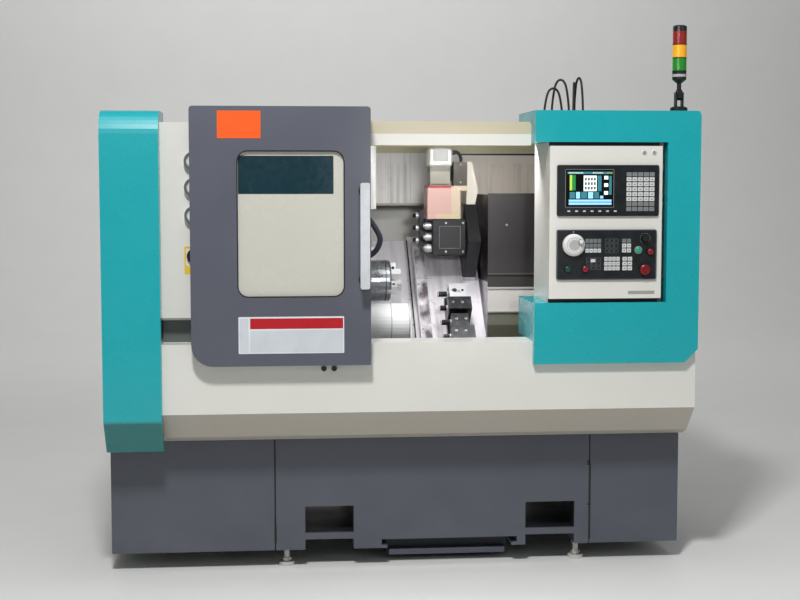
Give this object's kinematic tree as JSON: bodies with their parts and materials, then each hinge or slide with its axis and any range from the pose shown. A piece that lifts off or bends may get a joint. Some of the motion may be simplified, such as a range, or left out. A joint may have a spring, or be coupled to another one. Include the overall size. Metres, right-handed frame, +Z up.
{
  "type": "cnc turning lathe",
  "caption": "Enclosed slant-bed turning lathe with a sliding front door, gang and live tools, a swinging control panel and a signal tower.",
  "frame": {"origin": "on the floor, at the middle of the machine's width and depth", "axes": "+X along the spindle to the right as the operator sees it, +Y away from the operator, +Z up"},
  "size_m": [2.2, 1.46, 2.062],
  "materials": {
    "white_paint": "semi-gloss warm white powder coat",
    "teal_paint": "semi-gloss teal powder coat",
    "base_paint": "textured dark grey paint",
    "door_paint": "satin slate grey paint",
    "cast_iron": "machined and painted grey iron",
    "steel": "turned and ground steel",
    "bright_cover": "smooth pale metal cover",
    "dark_cover": "satin charcoal sheet",
    "black_steel": "black oxide steel",
    "black_plastic": "moulded black plastic",
    "black_rubber": "matt black rubber",
    "panel_film": "dark printed film",
    "pane": "pale laminated pane",
    "green_button": "bright green plastic",
    "dark_green_button": "dark green plastic",
    "red_button": "dark red plastic",
    "green_lamp": "green lens",
    "amber_lamp": "amber lens",
    "red_lamp": "red lens"
  },
  "bodies": {
    "machine": {"base_centre": "base_paint", "base_left_cover": "base_paint", "base_right_cover": "base_paint", "front_apron": "white_paint", "left_strip": "teal_paint", "gauge_panel": "white_paint", "left_side_panel": "white_paint", "right_side_panel": "white_paint", "roof_cover": "white_paint", "rear_panel": "white_paint", "rear_cabinet": "white_paint", "console_frame": "teal_paint", "control_housing": "white_paint", "tower_foot": "black_plastic", "slant_bed": "cast_iron", "headstock": "bright_cover", "spindle_motor": "black_steel", "drive_belt": "black_rubber", "way_cover_fixed": "bright_cover", "inner_wall": "white_paint", "cable_loops": "black_rubber", "coolant_hose": "black_rubber"},
    "door": {"door_frame": "door_paint", "door_window": "pane", "door_handle": "steel"},
    "roller_left": {"roller_left": "black_plastic"},
    "roller_right": {"roller_right": "black_plastic"},
    "spindle": {"spindle_shaft": "steel", "chuck_body": "steel"},
    "jaw_1": {"chuck_jaw_1": "steel"},
    "jaw_2": {"chuck_jaw_2": "steel"},
    "jaw_3": {"chuck_jaw_3": "steel"},
    "motor_pulley": {"motor_pulley": "steel"},
    "saddle": {"z_saddle": "bright_cover", "way_cover_left": "bright_cover", "way_cover_right": "dark_cover"},
    "long_screw": {"z_screw": "steel"},
    "cross_slide": {"cross_slide": "cast_iron", "gang_tools": "black_steel"},
    "live_unit": {"live_tool_unit": "black_steel"},
    "live_spindle_1": {"live_spindle_1": "steel"},
    "live_spindle_2": {"live_spindle_2": "steel"},
    "live_spindle_3": {"live_spindle_3": "steel"},
    "control_panel": {"panel_door": "white_paint", "display_unit": "panel_film", "operation_panel": "panel_film"},
    "handwheel": {"handwheel": "bright_cover"},
    "override_knob": {"override_knob": "black_plastic"},
    "power_on_button": {"power_on_button": "dark_green_button"},
    "power_off_button": {"power_off_button": "red_button"},
    "cycle_start_button": {"cycle_start_button": "green_button"},
    "feed_hold_button": {"feed_hold_button": "red_button"},
    "emergency_stop": {"emergency_stop": "red_button"},
    "signal_tower": {"tower_pole": "black_plastic", "lamp_green": "green_lamp", "lamp_amber": "amber_lamp", "lamp_red": "red_lamp"},
    "main_switch": {"main_switch": "black_plastic"},
    "chip_tray": {"chip_tray": "cast_iron"},
    "cabinet_door": {"cabinet_door": "white_paint"}
  },
  "joints": [
    {"name": "door_slide", "type": "slide", "parent": "machine", "child": "door", "axis": [1, 0, 0], "range_m": [0, 0.6]},
    {"name": "roller_left_spin", "type": "hinge", "parent": "door", "child": "roller_left", "pos_m": [-0.7, -0.53, 1.725], "axis": [0, 1, 0], "continuous": true},
    {"name": "roller_right_spin", "type": "hinge", "parent": "door", "child": "roller_right", "pos_m": [-0.21, -0.53, 1.725], "axis": [0, 1, 0], "continuous": true},
    {"name": "spindle_spin", "type": "hinge", "parent": "machine", "child": "spindle", "pos_m": [-0.1, -0.064, 1.085], "axis": [1, 0, 0], "continuous": true},
    {"name": "jaw_1_slide", "type": "slide", "parent": "spindle", "child": "jaw_1", "axis": [0, 0, 1], "range_m": [-0.003, 0.003]},
    {"name": "jaw_2_slide", "type": "slide", "parent": "spindle", "child": "jaw_2", "axis": [0, -0.866, -0.5], "range_m": [-0.003, 0.003]},
    {"name": "jaw_3_slide", "type": "slide", "parent": "spindle", "child": "jaw_3", "axis": [0, 0.866, -0.5], "range_m": [-0.003, 0.003]},
    {"name": "motor_spin", "type": "hinge", "parent": "machine", "child": "motor_pulley", "pos_m": [-0.74, -0.064, 0.665], "axis": [1, 0, 0], "continuous": true},
    {"name": "z_slide", "type": "slide", "parent": "machine", "child": "saddle", "axis": [1, 0, 0], "range_m": [-0.1, 0.22]},
    {"name": "z_screw_spin", "type": "hinge", "parent": "machine", "child": "long_screw", "pos_m": [0.4, 0.13222, 0.88878], "axis": [1, 0, 0], "continuous": true},
    {"name": "x_slide", "type": "slide", "parent": "saddle", "child": "cross_slide", "axis": [0, 0.7071, 0.7071], "range_m": [-0.1, 0.06]},
    {"name": "y_slide", "type": "slide", "parent": "cross_slide", "child": "live_unit", "axis": [0, -0.7071, 0.7071], "range_m": [-0.03, 0.03]},
    {"name": "live_1_spin", "type": "hinge", "parent": "live_unit", "child": "live_spindle_1", "pos_m": [0.16, 0.065, 1.209], "axis": [1, 0, 0], "continuous": true},
    {"name": "live_2_spin", "type": "hinge", "parent": "live_unit", "child": "live_spindle_2", "pos_m": [0.16, 0.065, 1.255], "axis": [1, 0, 0], "continuous": true},
    {"name": "live_3_spin", "type": "hinge", "parent": "live_unit", "child": "live_spindle_3", "pos_m": [0.16, 0.065, 1.301], "axis": [1, 0, 0], "continuous": true},
    {"name": "panel_swing", "type": "hinge", "parent": "machine", "child": "control_panel", "pos_m": [0.532, -0.634, 1.334], "axis": [0, 0, -1], "range_deg": [0, 90]},
    {"name": "handwheel_spin", "type": "hinge", "parent": "control_panel", "child": "handwheel", "pos_m": [0.62, -0.6423, 1.252], "axis": [0, -1, 0], "continuous": true},
    {"name": "override_turn", "type": "hinge", "parent": "control_panel", "child": "override_knob", "pos_m": [0.89, -0.6423, 1.275], "axis": [0, -1, 0], "range_deg": [-135, 135]},
    {"name": "power_on_press", "type": "slide", "parent": "control_panel", "child": "power_on_button", "axis": [0, 1, 0], "range_m": [0, 0.004], "stiffness_N_per_m": 800},
    {"name": "power_off_press", "type": "slide", "parent": "control_panel", "child": "power_off_button", "axis": [0, 1, 0], "range_m": [0, 0.004], "stiffness_N_per_m": 800},
    {"name": "cycle_start_press", "type": "slide", "parent": "control_panel", "child": "cycle_start_button", "axis": [0, 1, 0], "range_m": [0, 0.004], "stiffness_N_per_m": 800},
    {"name": "feed_hold_press", "type": "slide", "parent": "control_panel", "child": "feed_hold_button", "axis": [0, 1, 0], "range_m": [0, 0.004], "stiffness_N_per_m": 800},
    {"name": "emergency_press", "type": "slide", "parent": "control_panel", "child": "emergency_stop", "axis": [0, 1, 0], "range_m": [0, 0.004], "stiffness_N_per_m": 1500},
    {"name": "tower_fold", "type": "hinge", "parent": "machine", "child": "signal_tower", "pos_m": [1.026, -0.586, 1.806], "axis": [-1, 0, 0], "range_deg": [0, 90]},
    {"name": "main_switch_turn", "type": "hinge", "parent": "machine", "child": "main_switch", "pos_m": [-0.769, -0.574, 1.214], "axis": [0, -1, 0], "range_deg": [0, 90]},
    {"name": "tray_slide", "type": "slide", "parent": "machine", "child": "chip_tray", "axis": [0, -1, 0], "range_m": [0, 0.45]},
    {"name": "cabinet_swing", "type": "hinge", "parent": "machine", "child": "cabinet_door", "pos_m": [1.04, 0.73, 1.11], "axis": [0, 0, -1], "range_deg": [0, 110]}
  ],
  "couplings": [
    {"joint": "roller_left_spin", "follows": "door_slide", "rad_per_m": 55.556},
    {"joint": "roller_right_spin", "follows": "door_slide", "rad_per_m": 55.556},
    {"joint": "jaw_2_slide", "follows": "jaw_1_slide", "ratio": 1},
    {"joint": "jaw_3_slide", "follows": "jaw_1_slide", "ratio": 1},
    {"joint": "motor_spin", "follows": "spindle_spin", "ratio": 1.4},
    {"joint": "z_screw_spin", "follows": "z_slide", "rad_per_m": 628.32},
    {"joint": "live_2_spin", "follows": "live_1_spin", "ratio": -1},
    {"joint": "live_3_spin", "follows": "live_1_spin", "ratio": 1}
  ]
}
